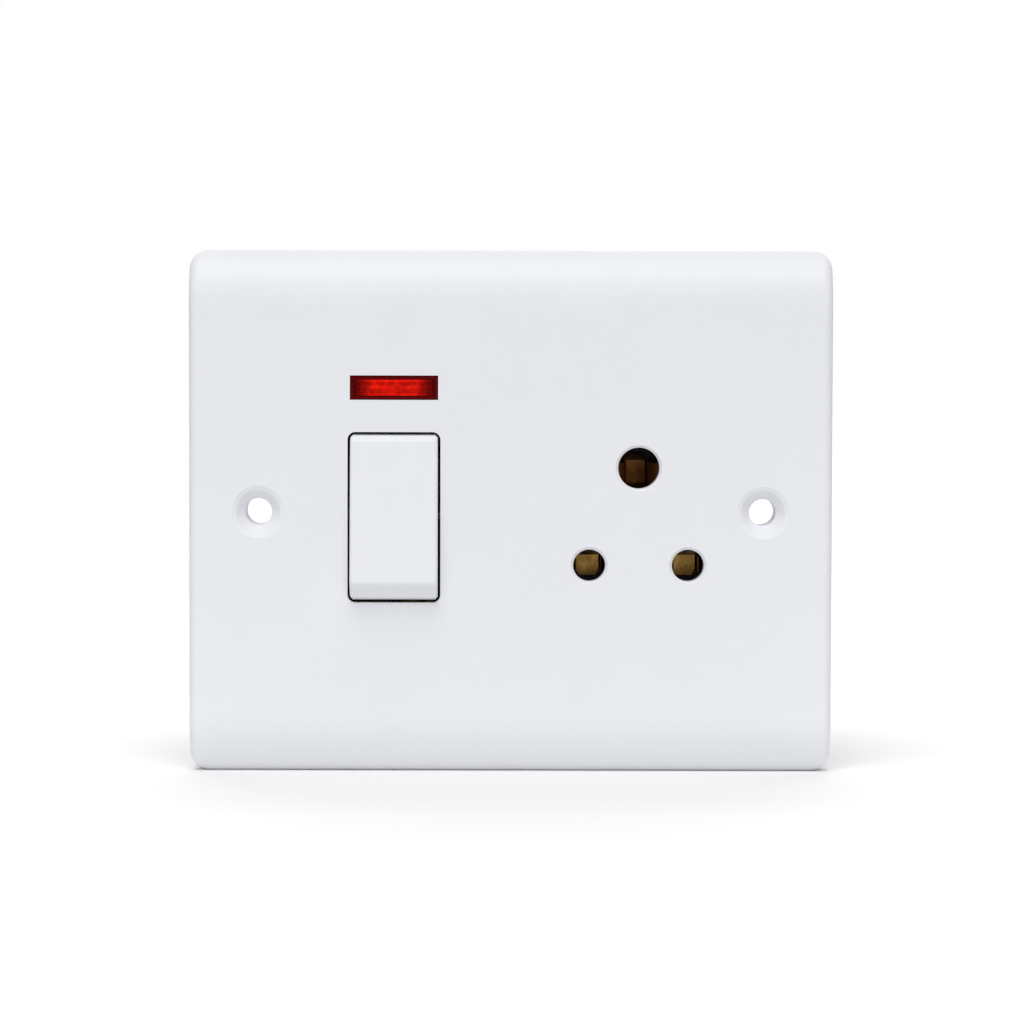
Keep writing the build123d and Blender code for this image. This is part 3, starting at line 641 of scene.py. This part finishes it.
def seen_directly(tree):
    """1 for rays from the camera, a reflection or a clear piece, and 0 for light that bounces."""
    path = tree.nodes.new("ShaderNodeLightPath")
    rays = ("Is Camera Ray", "Is Glossy Ray", "Is Transmission Ray")
    camera_ray, glossy_ray, clear_ray = (Field(path.outputs[ray]) for ray in rays)
    seen = camera_ray + glossy_ray + clear_ray
    return seen.maths("MINIMUM", seen, 1.0)


floor_maker = bmesh.new()
bmesh.ops.create_grid(floor_maker, x_segments=1, y_segments=1, size=FLOOR_HALF)
bmesh.ops.translate(floor_maker, verts=floor_maker.verts, vec=(0, 0, cad_box[0][2]))
floor_mesh = bpy.data.meshes.new("floor")
floor_maker.to_mesh(floor_mesh)
floor_maker.free()
floor = bpy.data.objects.new("floor", floor_mesh)
bpy.context.collection.objects.link(floor)
floor_white, floor_shader, floor_place = new_finish("floor_white", Roughness=1.0, Specular_IOR_Level=0.0)
before = from_middle(floor_place, "Y", 0.0)
beside = from_middle(floor_place, "X", 0.0) - cad_box[1][0]
from_plate = before.maths("MAXIMUM", before, beside) / PAPER_REACH
bounce = floor_place.node("ValToRGB", {"stops": bounce_stops}, {"Fac": from_plate})
# Painted shadow: as the camera sees it, the paper is a shade darker close to the plate.
paper_with_painted_shadow = floor_place.node("ValToRGB", {"stops": painted_shadow_stops}, {"Fac": from_plate})
dress(floor_shader, Base_Color=blend(seen_directly(floor_white.node_tree), bounce, paper_with_painted_shadow))
floor_mesh.materials.append(floor_white)
print("floor at", round(cad_box[0][2] / MM, 2), "mm")

# %% [markdown]
# The world shows white to the camera and in reflections. As a light it is two broad panels, one in front and
# one above and behind, which fade towards both sides so that the plate's side edges turn darker. Each panel
# is strongest straight at its middle and falls off with the cube of the angle's cosine. A panel's middle is
# given by how far it lies inwards, past the plate, and upwards.

# %% World
FRONT_PANEL = 1.6
FRONT_MIDDLE = (-0.906, 0.423)
BACK_PANEL = 2.4
BACK_MIDDLE = (0.866, 0.5)
world = bpy.data.worlds.new("studio")
world.use_nodes = True
bpy.context.scene.world = world
sky = world.node_tree.nodes["Background"]
direction = Field(world.node_tree.nodes.new("ShaderNodeTexCoord").outputs["Generated"])
axes = (direction.node("SeparateXYZ", inputs={"Vector": direction}, output=axis) for axis in "XYZ")
sideways, inwards, upwards = axes


def panel(strength, middle):
    """Light from a broad panel around one direction."""
    inward_part, upward_part = middle
    toward = inwards * inward_part + upwards * upward_part
    lit = toward.maths("MAXIMUM", toward, 0.0)
    return strength * (lit * lit * lit)


both = panel(FRONT_PANEL, FRONT_MIDDLE) + panel(BACK_PANEL, BACK_MIDDLE)
ambient = both * (1 - sideways * sideways)
shown = seen_directly(world.node_tree)
plug(world.node_tree, sky.inputs["Strength"], shown + (1 - shown) * ambient)
sky.inputs["Color"].default_value = (1, 1, 1, 1)
print("panels: front", FRONT_PANEL, "back", BACK_PANEL)

# %% [markdown]
# One lamp above and in front casts the soft shadow under the rocker and shades the fixing holes. A sun lamp
# is used because its light doesn't fall off over the floor.

# %% Lamp
LAMP_ENERGY = 1.4
LAMP_SPREAD = radians(40)
LAMP_AIM = Vector((0.06, 0.5, -0.86))
lamp_data = bpy.data.lights.new("overhead", "SUN")
lamp_data.energy = LAMP_ENERGY
lamp_data.angle = LAMP_SPREAD
overhead = bpy.data.objects.new("overhead", lamp_data)
bpy.context.collection.objects.link(overhead)
overhead.rotation_euler = LAMP_AIM.to_track_quat("-Z", "Y").to_euler()
print("lamp energy", LAMP_ENERGY)

# %% [markdown]
# ## Camera
#
# The plate was photographed almost straight on, from a little above its middle and with a long lens. The
# place and tilt were found by matching the outline, the holes and the rocker of the solids to the picture.

# %% Camera
EYE = Vector((-2.3, -711.0, 33.8)) * MM
AIM = Vector((0.3, 0.0, -0.35)) * MM
ROLL = radians(0.14)
SENSOR_WIDTH_MM = 36.0
LENS_MM = 128.1
camera_data = bpy.data.cameras.new("camera")
camera_data.sensor_width = SENSOR_WIDTH_MM
camera_data.lens = LENS_MM
camera_data.clip_start = 0.01
camera = bpy.data.objects.new("camera", camera_data)
bpy.context.collection.objects.link(camera)
look = (AIM - EYE).to_track_quat("-Z", "Y").to_matrix() @ Matrix.Rotation(ROLL, 3, "Z")
camera.matrix_world = Matrix.Translation(EYE) @ look.to_4x4()
bpy.context.scene.camera = camera
bpy.context.scene.view_settings.view_transform = "Standard"
print("camera lens", LENS_MM, "mm")
